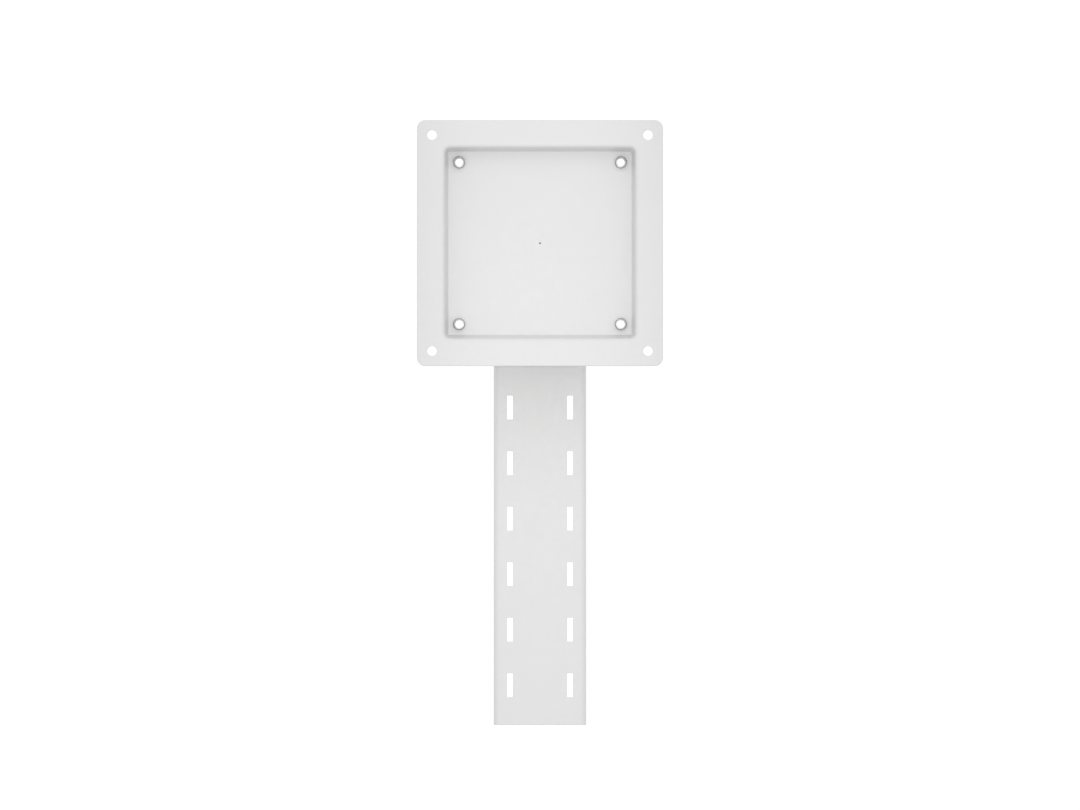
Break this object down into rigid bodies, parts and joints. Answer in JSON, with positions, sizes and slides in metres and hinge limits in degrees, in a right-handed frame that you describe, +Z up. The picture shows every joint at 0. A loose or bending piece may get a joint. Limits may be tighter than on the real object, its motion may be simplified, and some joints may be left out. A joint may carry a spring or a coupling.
{
  "type": "display mounting bracket",
  "caption": "White steel bracket: a square recessed tray plate for a screen or device, with a slotted channel arm hanging down behind it on a folded yoke.",
  "frame": {"origin": "centre of the square hole pattern, on the tray flange's front face", "axes": "the tray's front faces -Y, +Z is up, the arm hangs down along -Z, and +X is to the right for someone facing the front"},
  "size_m": [0.114, 0.058, 0.2813],
  "materials": {
    "tray_plate": "fine white powder coat, satin",
    "threaded_collars": "plain bright steel",
    "weld_studs": "clear zinc plate",
    "yoke_bracket": "fine white powder coat, satin",
    "stud_washers": "clear zinc plate",
    "stud_nuts": "clear zinc plate",
    "slotted_arm": "fine white powder coat, satin",
    "side_screws": "clear zinc plate",
    "side_washers": "clear zinc plate",
    "side_nuts": "clear zinc plate"
  },
  "bodies": {
    "root": {"tray_plate": "tray_plate", "threaded_collars": "threaded_collars", "weld_studs": "weld_studs", "yoke_bracket": "yoke_bracket", "stud_washers": "stud_washers", "stud_nuts": "stud_nuts", "slotted_arm": "slotted_arm", "side_screws": "side_screws", "side_washers": "side_washers", "side_nuts": "side_nuts"}
  },
  "joints": []
}
